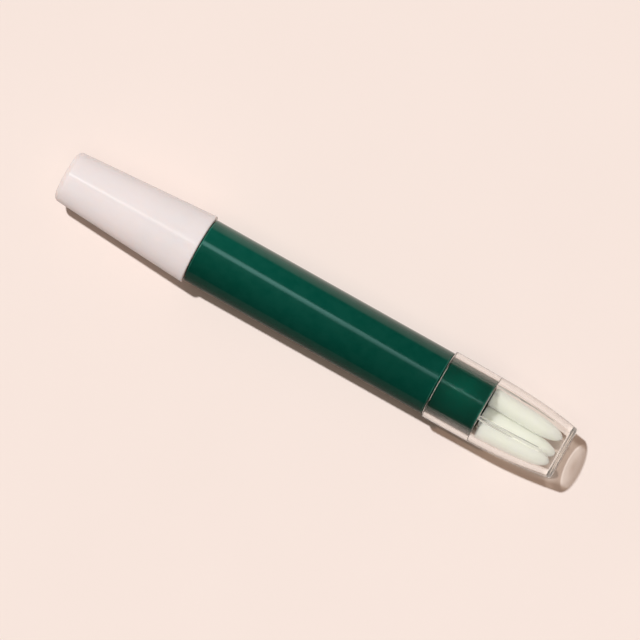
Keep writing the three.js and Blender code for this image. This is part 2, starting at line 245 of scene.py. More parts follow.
def make_edge_wear_and_light():
    """Another tone where the surface turns a corner: partly wear, partly painted light on edges."""
    tree, given, taken = shared_effect(
        "edge_wear_and_light",
        [("Colour", COLOUR, (0.5, 0.5, 0.5, 1)), ("Edge tone", COLOUR, (0.7, 0.7, 0.7, 1))],
        [("Colour", COLOUR)],
    )
    corner = ramp(tree, point_value(tree, "corner"), low=0.12, high=0.25)
    broken = ramp(tree, grain(tree, scale=420, detail=3), low=0.3, high=0.6, to_low=0.35, to_high=1.0)
    edge_share = combine(tree, corner, broken)
    tree.links.new(between(tree, edge_share, given["Colour"], given["Edge tone"]), taken["Colour"])
    return tree


moulded_skin = make_moulded_skin()
edge_wear_and_light = make_edge_wear_and_light()


def new_material(name, **sockets):
    """A new material, its tree and its shader. Sockets are values that hold all over."""
    material = bpy.data.materials.new(name)
    material.use_nodes = True
    surface = material.node_tree.nodes["Principled BSDF"]
    for socket, value in sockets.items():
        surface.inputs[socket.replace("_", " ")].default_value = value
    return material, material.node_tree, surface


def bump(tree, surface, height, strength, depth):
    """Bumps a surface by a height that changes over it. The depth is in millimetres."""
    made = put(
        tree,
        "ShaderNodeBump",
        {"Height": height, "Strength": strength, "Distance": depth * MM},
    )
    tree.links.new(made.outputs["Normal"], surface.inputs["Normal"])


def plastic(name, colour, flow_colour, edge_tone, roughness, rub_marks, skin, **sockets):
    """A moulded plastic with its own colours, gloss and wear, and an edge tone that is partly
    painted light. Skin is its bumps' depth.
    """
    material, tree, surface = new_material(name, **sockets)
    body = put(tree, "ShaderNodeGroup", node_tree=moulded_skin)
    body.inputs["Colour"].default_value = colour
    body.inputs["Flow colour"].default_value = flow_colour
    body.inputs["Roughness"].default_value = roughness
    body.inputs["Rub marks"].default_value = rub_marks
    edges = put(tree, "ShaderNodeGroup", node_tree=edge_wear_and_light)
    edges.inputs["Edge tone"].default_value = edge_tone
    tree.links.new(body.outputs["Colour"], edges.inputs["Colour"])
    tree.links.new(edges.outputs["Colour"], surface.inputs["Base Color"])
    tree.links.new(body.outputs["Roughness"], surface.inputs["Roughness"])
    bump(tree, surface, body.outputs["Height"], strength=0.35, depth=skin)
    return material


# Painted highlight: the lighter edge tone marks the barrel's edges and rims, along with wear.
green_plastic = plastic(
    "deep_green_polished",
    colour=(0.0002, 0.041, 0.027, 1),
    flow_colour=(0.0001, 0.038, 0.024, 1),
    edge_tone=(0.03, 0.15, 0.11, 1),
    roughness=0.10,
    rub_marks=0.05,
    skin=0.004,
    Specular_IOR_Level=0.33,
)

# Sizes of pieces are in millimetres, here and below: gaps, roundings, then the tube itself.
SEAT_GAP = 0.1
EDGE = 0.3
FINE_EDGE = 0.15
ROOT = 0.1
SPIGOT_EDGE = 0.35
RING_HEIGHT = 0.1
SPIGOT_RING_HEIGHT = 0.018
BORE_RIBS = 6
BORE_RIB_HALF_TURN = math.radians(3.5)
BORE_RIB_END = 0.05
ON_BORE = 0.01
neck_end, spigot_end = along("barrel")
front_shoulder = along("front_cap")[1] + SEAT_GAP
rear_shoulder = along("spare_tip_cap")[0] - SEAT_GAP
barrel_round = round_of("barrel")
neck_step = 0.85
neck_round = barrel_round - neck_step
spigot_step = 0.7
spigot_round = barrel_round - spigot_step
spigot_middle = (rear_shoulder + spigot_end) / 2
barrel_wall = 1.8
bore_round = barrel_round - barrel_wall
bore_rib_height = 0.5
bore_rib_round = bore_round - bore_rib_height
reservoir_front, reservoir_back = along("fibre_reservoir")


def snap_ring(middle, radius, height, width=1.0, steps=10):
    """A low ring that the cap clicks over, as points of an outline."""
    ring = []
    for k in range(steps + 1):
        share = k / steps
        lift = height * math.sin(math.pi * share) ** 2
        ring.append((middle + width * (share - 0.5), radius + lift, 0))
    return ring


def bore_ribs(x, r, turn):
    """Ribs along the bore, where the reservoir lies."""
    from_rib = abs(math.remainder(turn, 2 * math.pi / BORE_RIBS))
    on_bore = r < bore_round + ON_BORE and reservoir_front < x < reservoir_back
    return bore_rib_round if on_bore and from_rib < BORE_RIB_HALF_TURN else r


barrel = turned(
    "barrel_tube",
    soften(
        [
            (neck_end, bore_round, FINE_EDGE),
            (neck_end, neck_round, EDGE),
            *snap_ring((neck_end + front_shoulder) / 2, neck_round, RING_HEIGHT),
            (front_shoulder, neck_round, ROOT),
            (front_shoulder, barrel_round, EDGE),
            (rear_shoulder, barrel_round, EDGE),
            (rear_shoulder, spigot_round, ROOT),
            *snap_ring(spigot_middle, spigot_round, SPIGOT_RING_HEIGHT),
            (spigot_end, spigot_round, SPIGOT_EDGE),
            (spigot_end, bore_round, FINE_EDGE),
            (reservoir_back + BORE_RIB_END, bore_round, 0),
            (reservoir_back - BORE_RIB_END, bore_round, 0),
            (reservoir_front + BORE_RIB_END, bore_round, 0),
            (reservoir_front - BORE_RIB_END, bore_round, 0),
        ]
    ),
    green_plastic,
    relief=bore_ribs,
)
stand_for(barrel, "barrel", "pen_body")

# Reservoir, its film and the feed wick
# A soft rod of bonded fibre that is soaked with remover, in a thin film sleeve. The wick is a
# harder fibre rod pushed into its front end. They slide into the barrel from the back.


def make_fibre_bundle():
    """Bonded fibre: threads that run along the rod, with paler and darker strands."""
    tree, given, taken = shared_effect(
        "fibre_bundle",
        [
            ("Colour", COLOUR, (0.8, 0.8, 0.7, 1)),
            ("Strand colour", COLOUR, (0.7, 0.7, 0.6, 1)),
            ("Roughness", VALUE, 0.85),
        ],
        [("Colour", COLOUR), ("Roughness", VALUE), ("Height", VALUE)],
    )
    threads = grain(tree, scale=5200, stretch=(0.09, 1, 1))
    crossing = grain(tree, scale=3600, stretch=(0.4, 1, 0.7), detail=3)
    thin = ramp(tree, threads, low=0.35, high=0.7)
    strands = combine(tree, thin, ramp(tree, crossing, low=0.3, high=0.75))
    tree.links.new(between(tree, strands, given["Colour"], given["Strand colour"]), taken["Colour"])
    dull = ramp(tree, crossing, low=0.3, high=0.7, to_low=-0.06, to_high=0.06)
    tree.links.new(combine(tree, given["Roughness"], dull, "ADD"), taken["Roughness"])
    tree.links.new(combine(tree, threads, crossing, "ADD"), taken["Height"])
    return tree


fibre_bundle = make_fibre_bundle()


def fibre(name, colour, strand_colour, relief, **sockets):
    """Bonded fibre with its own colours. Relief is the depth between strands."""
    material, tree, surface = new_material(name, **sockets)
    strands = put(tree, "ShaderNodeGroup", node_tree=fibre_bundle)
    strands.inputs["Colour"].default_value = colour
    strands.inputs["Strand colour"].default_value = strand_colour
    tree.links.new(strands.outputs["Colour"], surface.inputs["Base Color"])
    tree.links.new(strands.outputs["Roughness"], surface.inputs["Roughness"])
    bump(tree, surface, strands.outputs["Height"], strength=0.6, depth=relief)
    return material


reservoir_fibre = fibre(
    "soft_reservoir_fibre",
    colour=(0.80, 0.80, 0.74, 1),
    strand_colour=(0.68, 0.68, 0.60, 1),
    relief=0.06,
)
PRESS_GAP = 0.05
INNER_EDGE = 0.2
FIBRE_EDGE = 0.5
wick_front, wick_back = along("feed_wick")
wick_round = round_of("feed_wick")
wick_bore_round = wick_round + PRESS_GAP
reservoir_round = round_of("fibre_reservoir")
reservoir = turned(
    "reservoir_rod",
    soften(
        [
            (wick_back + SEAT_GAP, 0, 0),
            (wick_back + SEAT_GAP, wick_bore_round, INNER_EDGE),
            (reservoir_front, wick_bore_round, EDGE),
            (reservoir_front, reservoir_round, FIBRE_EDGE),
            (reservoir_back, reservoir_round, FIBRE_EDGE),
            (reservoir_back, 0, 0),
        ]
    ),
    reservoir_fibre,
)
stand_for(reservoir, "fibre_reservoir", "pen_body")

film = plastic(
    "clear_film",
    colour=(0.80, 0.83, 0.86, 1),
    flow_colour=(0.74, 0.78, 0.82, 1),
    edge_tone=(0.86, 0.88, 0.90, 1),
    roughness=0.18,
    rub_marks=0.2,
    skin=0.01,
    IOR=1.5,
)
FILM_EDGE = 0.04
film_thickness = 0.15
wrap_round = round_of("reservoir_wrap")
wrap = turned(
    "reservoir_film",
    soften(
        [
            (reservoir_front, wrap_round - film_thickness, FILM_EDGE),
            (reservoir_front, wrap_round, FILM_EDGE),
            (reservoir_back, wrap_round, FILM_EDGE),
            (reservoir_back, wrap_round - film_thickness, FILM_EDGE),
        ]
    ),
    film,
)
stand_for(wrap, "reservoir_wrap", "pen_body")

tip_fibre = fibre(
    "cream_tip_fibre",
    colour=(0.87, 0.895, 0.82, 1),
    strand_colour=(0.83, 0.855, 0.775, 1),
    relief=0.02,
    Subsurface_Weight=0.9,
    Subsurface_Radius=(1.0, 1.0, 0.9),
    Subsurface_Scale=2.6 * MM,
    Sheen_Weight=1.0,
    Sheen_Roughness=0.5,
)
WICK_COLUMNS = 60
wick = turned(
    "feed_wick_rod",
    soften(
        [
            (wick_front, 0, 0),
            (wick_front, wick_round, FINE_EDGE),
            (wick_back, wick_round, EDGE),
            (wick_back, 0, 0),
        ]
    ),
    tip_fibre,
    turns=even_turns(WICK_COLUMNS),
)
stand_for(wick, "feed_wick", "pen_body")

# Tip holder
# A moulding of natural, slightly milky plastic, pushed into the barrel's neck for good. Its
# flange stops on the neck, its land and cone meet the cap's seal, and its socket grips the tip.
natural_plastic = plastic(
    "milky_natural_plastic",
    colour=(0.86, 0.85, 0.81, 1),
    flow_colour=(0.82, 0.81, 0.77, 1),
    edge_tone=(0.90, 0.89, 0.86, 1),
    roughness=0.38,
    rub_marks=0.12,
    skin=0.01,
    IOR=1.5,
    Subsurface_Weight=0.25,
    Subsurface_Radius=(1.0, 0.9, 0.8),
    Subsurface_Scale=0.8 * MM,
)
SLIDE_GAP = 0.15
LEAD_IN = 0.4
FLANGE_EDGE = 0.25
TIGHT_ROOT = 0.05
VENTS = 4
VENT_DEPTH = 0.4
VENT_HALF_WIDTH = 0.3
VENT_STOP = 0.25
VENT_STOP_ROWS = (0.2, 0.35)
BY_SOCKET = 0.35
nose, holder_back = along("tip_holder")
socket_depth = 6.0
socket_floor = nose + socket_depth
flange_round = round_of("tip_holder")
flange_back = neck_end - SEAT_GAP
flange_thickness = 1.0
flange_front = flange_back - flange_thickness
land_length = 3.3
land_front = flange_front - land_length
tip_round = round_of("working_tip")
socket_round = tip_round + SLIDE_GAP
nose_wall = 0.8
nose_round = socket_round + nose_wall
seal_round = round_of("cap_inner_seal")
seal_wall = 1.58
land_bore_round = seal_round - seal_wall
land_round = land_bore_round - SLIDE_GAP
insert_round = bore_round - PRESS_GAP


def air_grooves(x, r, turn):
    """Grooves along the socket let air in behind the tip."""
    across = r * abs(math.sin(math.remainder(turn - math.pi / VENTS, 2 * math.pi / VENTS)))
    in_socket = abs(r - socket_round) < BY_SOCKET and x < socket_floor - VENT_STOP
    return socket_round + VENT_DEPTH if in_socket and across < VENT_HALF_WIDTH else r


holder = turned(
    "tip_holder_moulding",
    soften(
        [
            (socket_floor, wick_bore_round, 0),
            (socket_floor, socket_round, 0),
            *[(socket_floor - row, socket_round, 0) for row in VENT_STOP_ROWS],
            (nose, socket_round, EDGE),
            (nose, nose_round, EDGE),
            (land_front, land_round, EDGE),
            (flange_front, land_round, INNER_EDGE),
            (flange_front, flange_round, FLANGE_EDGE),
            (flange_back, flange_round, FINE_EDGE),
            (flange_back, insert_round, TIGHT_ROOT),
            (holder_back, insert_round, LEAD_IN),
            (holder_back, wick_bore_round, INNER_EDGE),
        ]
    ),
    natural_plastic,
    relief=air_grooves,
)
stand_for(holder, "tip_holder", "pen_body")

# Working tip
# A rod of bonded cream fibre with a rounded point, pushed by hand into the holder's socket
# until it meets the wick. The spare tips are the same piece.
TIP_NOSE = 7.0
TIP_COLUMNS = 72
TIP_ROWS = 24
BACK_RINGS = (0.0, 0.5, 1.0)
BACK_EDGE = 0.25
BACK_EDGE_MIDDLE = (0.1, 0.08)
NEAR_RIM = 0.05
FIBRE_LIFT = 0.03
LUMPS_ALONG = 0.9
LUMPS_ROUND = 3
LUMPS_SCALE = 1.6


def tip_ends(node, towards):
    """The middle of a tip's flat back end and its point, from the solid in the frame."""
    corners = [v.co.copy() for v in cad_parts[node].data.vertices]
    point = max(corners, key=lambda c: towards * c.x)
    furthest = max((c - point).length for c in corners)
    rim = [c for c in corners if (c - point).length > furthest - NEAR_RIM * MM]
    back = sum(rim, Vector()) / len(rim)
    return back, point


def fibre_tip(name, node, body, towards, swell=0.0, wider=0.0, longer=0.0):
    """A tip where its solid is, with the small unevenness of cut and ground fibre. It points
    towards the pen's back (1) or front (-1). Loose fibre swells a little past the solid: all
    round it, wider towards the tips beside it, most at its back end, and longer there."""
    back, point = tip_ends(node, towards)
    length = (point - back).length / MM
    straight = length - TIP_NOSE
    to_wall = math.atan2(-back.y, back.z - axis_height * MM)
    edge_along, edge_in = BACK_EDGE_MIDDLE
    rows = [(-longer, r) for r in (*BACK_RINGS, tip_round - BACK_EDGE)]
    rows += [(edge_along - longer, tip_round - edge_in), (BACK_EDGE - longer, tip_round)]
    for k in range(1, TIP_ROWS + 1):
        rows.append((BACK_EDGE + (straight - BACK_EDGE) * k / TIP_ROWS, tip_round))
    for k in range(1, TIP_ROWS + 1):
        turn = math.pi / 2 * k / TIP_ROWS
        rows.append((straight + TIP_NOSE * math.sin(turn), tip_round * math.cos(turn)))
    rows[-1] = (length, 0.0)

    def fibres(x, r, turn):
        """The radius with the fibre's lumps and its swell."""
        up, across = LUMPS_ROUND * math.cos(turn), LUMPS_ROUND * math.sin(turn)
        spot = Vector((x * LUMPS_ALONG + back.y / MM, up, across))
        uneven = FIBRE_LIFT * (noise.noise(spot * LUMPS_SCALE) - 0.5)
        pressed = wider * max(0.0, 1 - x / straight) * math.sin(turn - to_wall) ** 2
        return r + min(1.0, r / tip_round) * (swell + pressed + uneven)

    tip = turned(name, rows, tip_fibre, turns=even_turns(TIP_COLUMNS), relief=fibres, height=0)
    to_point = (point - back).normalized()
    facing = to_point.to_track_quat("X", "Z").to_matrix().to_4x4()
    tip.matrix_world = Matrix.Translation(back) @ facing
    stand_for(tip, node, body)
    return tip


tip_in_use = fibre_tip("fibre_tip_in_use", "working_tip", "working_tip_body", towards=-1)

# Rear plug
# A green cup pushed for good into the barrel's rear end. It keeps the reservoir in, and its
# rim shows at the spigot when the clear cap is off.
HOLLOW_FLOOR = 0.5
plug_front, plug_back = along("rear_plug")
plug_round = round_of("rear_plug")
plug_wall = 1.1
plug = turned(
    "rear_plug_cup",
    soften(
        [
            (plug_front, 0, 0),
            (plug_front, plug_round, LEAD_IN),
            (plug_back, plug_round, EDGE),
            (plug_back, plug_round - plug_wall, INNER_EDGE),
            (plug_front + plug_wall, plug_round - plug_wall, HOLLOW_FLOOR),
            (plug_front + plug_wall, 0, 0),
        ]
    ),
    green_plastic,
)
stand_for(plug, "rear_plug", "pen_body")

# Clear cap
# A water-clear moulding pushed on the spigot: a straight socket up to a step, then a chamber
# for the spare tips whose wall curves in to a flat end. Three ribs run along the chamber from
# the step until the wall has curved in as far as they reach.


def clear_plastic():
    """Water-clear plastic with faint flow marks. Light passes it to the floor, less where the
    wall bends or spreads it. A painted glow on the rim and the ribs' sides stands for light inside
    it."""
    material, tree, surface = new_material(
        "water_clear_plastic",
        Transmission_Weight=1.0,
        IOR=1.5,
        Roughness=0.0,
        Emission_Strength=1.0,
    )
    body = put(tree, "ShaderNodeGroup", node_tree=moulded_skin)
    body.inputs["Colour"].default_value = (0.985, 0.975, 0.955, 1)
    body.inputs["Flow colour"].default_value = (0.97, 0.96, 0.935, 1)
    bump(tree, surface, body.outputs["Height"], strength=0.1, depth=0.002)
    turned_away = put(tree, "ShaderNodeLayerWeight", {"Blend": 0.5}).outputs["Facing"]

    edge_colour = (0.80, 0.78, 0.755, 1)
    edge = ramp(tree, turned_away, low=0.25, high=0.6)
    edge = combine(tree, edge, point_value(tree, "side_wall"))
    tint = between(tree, edge, body.outputs["Colour"], edge_colour)
    tree.links.new(tint, surface.inputs["Base Color"])

    # Painted glow: emission on the rim and the ribs' sides, which are no lamp.
    no_light = (0, 0, 0, 1)
    painted_rim_glow_colour = (0.105, 0.092, 0.080, 1)
    painted_rib_glow_colour = (0.33, 0.32, 0.28, 1)
    glow = between(tree, point_value(tree, "painted_rim_glow"), no_light, painted_rim_glow_colour)
    glow = between(tree, point_value(tree, "painted_rib_glow"), glow, painted_rib_glow_colour)
    tree.links.new(glow, surface.inputs["Emission Color"])

    straight_light = (0.985, 0.98, 0.97, 1)
    spread_light = (0.36, 0.29, 0.24, 1)
    bent_away = ramp(tree, turned_away, low=0.30, high=0.46)
    bent_away = combine(tree, bent_away, point_value(tree, "light_bend"))
    lost = combine(tree, bent_away, point_value(tree, "light_spread"), "MAXIMUM")
    shade = between(tree, lost, straight_light, spread_light)
    let_through = put(tree, "ShaderNodeBsdfTransparent", {"Color": shade})
    light_path = put(tree, "ShaderNodeLightPath").outputs
    blurred = combine(tree, light_path["Is Glossy Ray"], light_path["Is Singular Ray"], "SUBTRACT")
    scattered = combine(tree, light_path["Is Diffuse Ray"], blurred, "MAXIMUM")
    lit = combine(tree, light_path["Is Shadow Ray"], scattered, "MAXIMUM")
    seen = put(
        tree,
        "ShaderNodeMixShader",
        {0: lit, 1: surface.outputs["BSDF"], 2: let_through.outputs["BSDF"]},
    )
    tree.links.new(seen.outputs["Shader"], tree.nodes["Material Output"].inputs["Surface"])
    return material


STEP_EDGE = 0.08
MOUTH_EDGE = 0.30
RIM_EDGE = 1.0
CURVE_ROWS = 40
store_mouth, store_end = along("spare_tip_cap")
store_step = spigot_end + SEAT_GAP
store_wall = 1.45
store_end_wall = 1.2
chamber_end = store_end - store_end_wall
store_mouth_round = round_of("spare_tip_cap")
store_draft = 0.11
store_step_round = store_mouth_round - store_draft
store_bore_round = spigot_round + RING_HEIGHT + SLIDE_GAP
curve_in = 1.85
curve_run = store_end - store_step
curve_arc = (curve_run**2 + curve_in**2) / (2 * curve_in)


def store_round(x):
    """Radius of the clear cap's outside past the step, where it curves in."""
    drop = curve_arc - math.sqrt(curve_arc**2 - (x - store_step) ** 2)
    return store_step_round - drop


def curve_points(start, end, inset, count=CURVE_ROWS):
    """Points along the clear cap's curve, moved in by the wall for the chamber."""
    places = [start + (end - start) * k / count for k in range(count + 1)]
    return [(x, store_round(x) - inset, 0) for x in places]


RIBS = 3
RIB_COLUMNS = 18
RIB_COLUMNS_A_DEGREE = 3
RIB_CREST_HALF = 0.26
RIB_ROOT_HALF = 0.50
RIB_STOP = 0.5
RIDGE_HEIGHT = 0.22
RIDGE_RUN = 15.0
ON_CHAMBER = 0.02
first_rib_turn = math.radians(18)
rib_height = 0.6
rib_crest_round = store_step_round - store_wall - rib_height


def from_rib(turn):
    """How far a turn is from the nearest rib's middle."""
    return math.remainder(turn - first_rib_turn, 2 * math.pi / RIBS)


def rib_rise(x, across):
    """How far up a rib's side a place is, from nought at its root to one on its crest. Each
    rib starts in a round end at the step."""
    before_start = max(0.0, store_step + RIB_ROOT_HALF - x)
    off = math.hypot(across, before_start)
    rise = min(1.0, max(0.0, (RIB_ROOT_HALF - off) / (RIB_ROOT_HALF - RIB_CREST_HALF)))
    return rise * rise * (3 - 2 * rise)


def chamber_ribs(x, r, turn):
    """Rounded ribs with a straight crest. Past its end, a low ridge runs on along the wall."""
    on_wall = r < store_round(x) - store_wall + ON_CHAMBER
    if not (store_step < x < chamber_end - RIB_STOP and on_wall):
        return r
    ridge = RIDGE_HEIGHT * min(1.0, max(0.0, store_step + RIDGE_RUN - x))
    return r - max(ridge, r - rib_crest_round) * rib_rise(x, r * from_rib(turn))


def turns_with_ribs():
    """Columns every two degrees, and every third of a degree over the ribs."""
    turns = {round(360 / COLUMNS * k, 3) for k in range(COLUMNS)}
    for rib in range(RIBS):
        middle = math.degrees(first_rib_turn) + 360 / RIBS * rib
        for k in range(-RIB_COLUMNS, RIB_COLUMNS + 1):
            turns.add(round((middle + k / RIB_COLUMNS_A_DEGREE) % 360, 3))
    return [math.radians(t) for t in sorted(turns)]


RIB_START_ROWS = 18
rib_start_from, rib_start_to = store_step + 0.16, store_step + 1.6
inside_from, inside_to = store_step + 1.7, chamber_end - 1.2
outside_from, outside_to = store_step + 0.5, store_end - 2.4
end_round = store_round(store_end)

# Light that the flat end loses, by the distance of its rings from the rim. The last is its middle.
END_LOSS = {1.2: 0.0, 1.9: 0.42, 3.0: 0.42, end_round: 0.8}

clear_cap = turned(
    "clear_tip_cap",
    soften(
        [
            (chamber_end, 0, 0),
            (chamber_end, store_round(chamber_end) - store_wall, HOLLOW_FLOOR),
            *curve_points(inside_to, inside_from, store_wall),
            *curve_points(rib_start_to, rib_start_from, store_wall, RIB_START_ROWS),
            (store_step, store_step_round - store_wall, STEP_EDGE),
            (store_step, store_bore_round, ROOT),
            (store_mouth + MOUTH_EDGE, store_bore_round, ROOT),
            (store_mouth, store_bore_round + MOUTH_EDGE, STEP_EDGE),
            (store_mouth, store_mouth_round, EDGE),
            (store_step, store_step_round, 0),
            *curve_points(outside_from, outside_to, 0),
            (store_end, end_round, RIM_EDGE),
            *[(store_end, end_round - inset, 0) for inset in END_LOSS],
        ]
    ),
    clear_plastic(),
    turns=turns_with_ribs(),
    relief=chamber_ribs,
)


def end_loss(from_rim):
    """Light lost at a place on the flat end, as at the nearest of its rings."""
    return END_LOSS[min(END_LOSS, key=lambda inset: abs(inset - from_rim))]


# The outer wall bends light away where it turns from it, and the underside spreads it. The end
# has a bright outline round a darker middle. A painted glow at the end's rim and at the ribs'
# sides stands for the light that runs along inside the wall.
RIM_DEPTH = 1.2
RIM_WIDTH = 1.05
RIM_LOSS = 0.85
ON_END = 0.1
UNDERSIDE_LOSS = 0.30
UNDER_END_RUN = 3.0
UNDER_END_BEND = 0.4
SIDE_WALL_STOP = 1.5
marks = {"light_bend": [], "light_spread": [], "side_wall": [], "painted_rim_glow": [], "painted_rib_glow": []}
for vertex in clear_cap.data.vertices:
    x, y, z = vertex.co / MM
    from_axis = math.hypot(y, z - axis_height)
    from_rim = end_round - from_axis
    outer_wall = from_axis > store_round(max(x, store_step)) - store_wall / 2
    under = z < axis_height
    bend = UNDER_END_BEND if under and x > store_end - UNDER_END_RUN else 1.0
    marks["light_bend"].append(bend if outer_wall else 0.0)
    on_rim = x > store_end - RIM_DEPTH and from_rim < RIM_WIDTH
    if on_rim:
        spread = RIM_LOSS
    elif x > store_end - ON_END:
        spread = end_loss(from_rim)
    else:
        spread = UNDERSIDE_LOSS if outer_wall and under else 0.0
    marks["light_spread"].append(spread)
    marks["side_wall"].append(1.0 if x < store_end - SIDE_WALL_STOP else 0.0)
    marks["painted_rim_glow"].append(1.0 if on_rim else 0.0)
    by_rib = not outer_wall and store_step < x < store_step + RIDGE_RUN
    across = from_axis * from_rib(math.atan2(-y, z - axis_height))
    rise = rib_rise(x, across) if by_rib else 0.0
    half_way_up = 4 * rise * (1 - rise)
    marks["painted_rib_glow"].append(half_way_up)
for name, values in marks.items():
    kept = clear_cap.data.attributes.new(name, "FLOAT", "POINT")
    kept.data.foreach_set("value", values)
stand_for(clear_cap, "spare_tip_cap", "clear_cap_body")

# Spare tips
# Three tips like the one in use, loose in the chamber. They lie side by side in its round,
# and each can slide a little along it.
FIBRE_SWELL = 0.08
FIBRE_PRESSED = 0.30
BACK_END_LONGER = {1: -0.55, 2: 0.30, 3: 0.10}
tips = [tip_in_use]
for number, longer in BACK_END_LONGER.items():
    node = f"spare_tip_{number}"
    tip = fibre_tip(
        f"spare_fibre_tip_{number}",
        node,
        f"{node}_body",
        towards=1,
        swell=FIBRE_SWELL,
        wider=FIBRE_PRESSED,
        longer=longer,
    )
    tips.append(tip)

# Inner seal
# A soft bush of natural plastic pushed into the front cap. Its bore closes on the holder's
# land and cone, so that the tip doesn't dry out.
seal_front, seal_back = along("cap_inner_seal")
cone_length = 3.3
cone_slope = (land_round - nose_round) / cone_length
taper_start = land_front - SLIDE_GAP
throat_round = land_bore_round - (taper_start - seal_front) * cone_slope
seal = turned(
    "cap_seal_bush",
    soften(
        [
            (seal_front, throat_round, INNER_EDGE),
            (seal_front, seal_round, EDGE),
            (seal_back, seal_round, FINE_EDGE),
            (seal_back, land_bore_round, EDGE),
            (taper_start, land_bore_round, INNER_EDGE),
        ]
    ),
    natural_plastic,
)
stand_for(seal, "cap_inner_seal", "front_cap_body")

# Front cap
# A tapered shell of pinkish white plastic with a flat, closed end and a rounded edge. It
# slides on the barrel's neck and stops with its mouth at the barrel's shoulder.
# Painted shade: the darker edge tone darkens the cap's rounded edges.
white_plastic = plastic(
    "pinkish_white_plastic",
    colour=(0.865, 0.785, 0.785, 1),
    flow_colour=(0.850, 0.768, 0.768, 1),
    edge_tone=(0.78, 0.685, 0.665, 1),
    roughness=0.18,
    rub_marks=0.01,
    skin=0.004,
    Specular_IOR_Level=0.05,
    Subsurface_Weight=0.6,
    Subsurface_Radius=(1.0, 0.8, 0.7),
    Subsurface_Scale=2.0 * MM,
)


def quieten_bounce(material, bounce_colour):
    """Keeps a pale plastic from lighting up the floor beside it."""
    tree = material.node_tree
    base = tree.nodes["Principled BSDF"].inputs["Base Color"]
    bounce = put(tree, "ShaderNodeLightPath").outputs["Is Diffuse Ray"]
    tree.links.new(between(tree, bounce, base.links[0].from_socket, bounce_colour), base)


quieten_bounce(white_plastic, bounce_colour=(0.46, 0.39, 0.36, 1))
CAP_END_EDGE = 1.2
cap_end, cap_mouth = along("front_cap")
cap_mouth_round = round_of("front_cap")
cap_taper = 2.23
cap_end_round = cap_mouth_round - cap_taper
cap_bore_round = neck_round + RING_HEIGHT + SLIDE_GAP
cap_wall = 1.2
cap_end_wall = 1.3
cavity_end = cap_end + cap_end_wall
seal_seat_front = seal_front - SEAT_GAP
seal_seat_round = seal_round + PRESS_GAP


def cap_round(x):
    """Radius of the front cap's outside at a place along the pen."""
    share = (x - cap_end) / (cap_mouth - cap_end)
    return cap_end_round + (cap_mouth_round - cap_end_round) * share


front_cap = turned(
    "front_cap_shell",
    soften(
        [
            (cap_end, 0, 0),
            (cap_end, cap_end_round, CAP_END_EDGE),
            (cap_mouth, cap_mouth_round, EDGE),
            (cap_mouth, cap_bore_round, EDGE),
            (seal_back, cap_bore_round, ROOT),
            (seal_back, seal_seat_round, TIGHT_ROOT),
            (seal_seat_front, seal_seat_round, TIGHT_ROOT),
            (seal_seat_front, cap_round(seal_seat_front) - cap_wall, TIGHT_ROOT),
            (cavity_end, cap_round(cavity_end) - cap_wall, HOLLOW_FLOOR),
            (cavity_end, 0, 0),
        ]
    ),
    white_plastic,
)
stand_for(front_cap, "front_cap", "front_cap_body")

# Floor
# A plain sheet of pale peach paper that the pen lies on, wide enough to reach past every
# view. It is one flat face.
FLOOR_SIZE = 4.0


def mirror_rays(tree):
    """One for a ray that a shiny surface has thrown back, and nought for any other."""
    light_path = put(tree, "ShaderNodeLightPath").outputs
    return combine(tree, light_path["Is Glossy Ray"], light_path["Is Transmission Ray"], "SUBTRACT")


def peach_paper():
    """Paper with painted shade in the pen's shine only: far off, and by the green part's shaded side.
    """
    material, tree, surface = new_material("pale_peach_sheet", Specular_IOR_Level=0.0)
    cloud = grain(tree, scale=30, detail=4)
    colour = between(tree, cloud, (0.915, 0.800, 0.748, 1), (0.935, 0.820, 0.768, 1))
    rough = ramp(tree, cloud, low=0.3, high=0.7, to_low=0.75, to_high=0.85)
    tree.links.new(rough, surface.inputs["Roughness"])
    place = put(tree, "ShaderNodeTexCoord").outputs["Object"]
    away = put(tree, "ShaderNodeVectorMath", {0: place}, operation="LENGTH").outputs["Value"]
    spot = put(tree, "ShaderNodeSeparateXYZ", {"Vector": place}).outputs
    # Painted shade, seen only in shine: the paper darkens far off and by the green part's shaded
    # side.
    far = ramp(tree, away, low=0.02, high=0.25, to_low=0.0, to_high=0.6)
    shaded_side = ramp(tree, spot["Y"], low=-0.012, high=0.0, to_low=0.85, to_high=0.0)
    by_green = ramp(tree, spot["X"], low=0.030, high=0.036, to_low=1.0, to_high=0.0)
    shaded = combine(tree, shaded_side, by_green)
    painted_shade_share = combine(tree, combine(tree, far, shaded, "MAXIMUM"), mirror_rays(tree))
    painted_shade_colour = (0.08, 0.06, 0.05, 1)
    tree.links.new(between(tree, painted_shade_share, colour, painted_shade_colour), surface.inputs["Base Color"])
    return material


floor_shape = bmesh.new()
bmesh.ops.create_grid(floor_shape, x_segments=1, y_segments=1, size=FLOOR_SIZE / 2)
floor = smooth_piece("floor", floor_shape, peach_paper())

# Light
# A small, bright key from the picture's upper left, weaker on the tips, which let part of it
# through. A slim strip, whose line along the barrel fades towards the clear cap. A warm fill, a
# card by the front cap, two lifts on the barrel, the clear cap's glow on the tips, and the room.
KEY_TRAVEL = (0.342, -0.185, -1.0)
KEY_WIDTH = math.radians(2.5)
KEY_ENERGY = 2.76
KEY_ENERGY_ON_TIPS = 1.5
FIBRE_LETS_THROUGH = 0.4


def piece_group(name, pieces, state="INCLUDE"):
    """The pieces that one lamp is kept to, or that it leaves out."""
    group = bpy.data.collections.new(name)
    for piece in pieces:
        group.objects.link(piece)
    for member in group.collection_objects:
        member.light_linking.link_state = state
    return group


